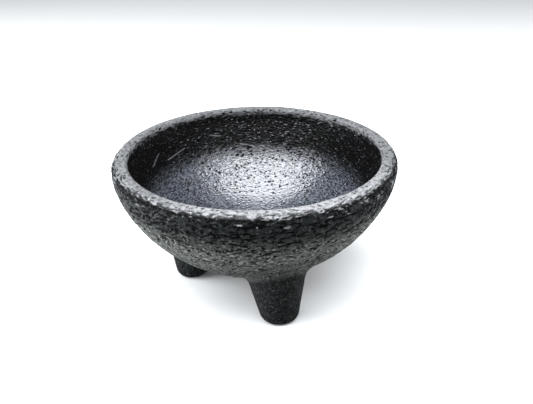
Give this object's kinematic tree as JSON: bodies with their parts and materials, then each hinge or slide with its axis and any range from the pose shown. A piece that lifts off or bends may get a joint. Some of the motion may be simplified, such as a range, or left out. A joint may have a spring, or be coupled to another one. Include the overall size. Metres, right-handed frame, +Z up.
{
  "type": "molcajete",
  "caption": "Low round mortar bowl of dark carved basalt with a thick rim, standing on short splayed tapering legs with rounded feet.",
  "frame": {"origin": "on the resting plane, under the bowl's axis", "axes": "+Z up along the bowl's axis, -Y towards the front leg, +X to the right when seen from the front"},
  "size_m": [0.2, 0.2, 0.108],
  "materials": {
    "basalt": "dark pitted basalt, ground smooth and seasoned with oil, semi-gloss"
  },
  "bodies": {
    "root": {"bowl": "basalt", "leg_front": "basalt", "leg_rear_right": "basalt", "leg_rear_left": "basalt"}
  },
  "joints": []
}
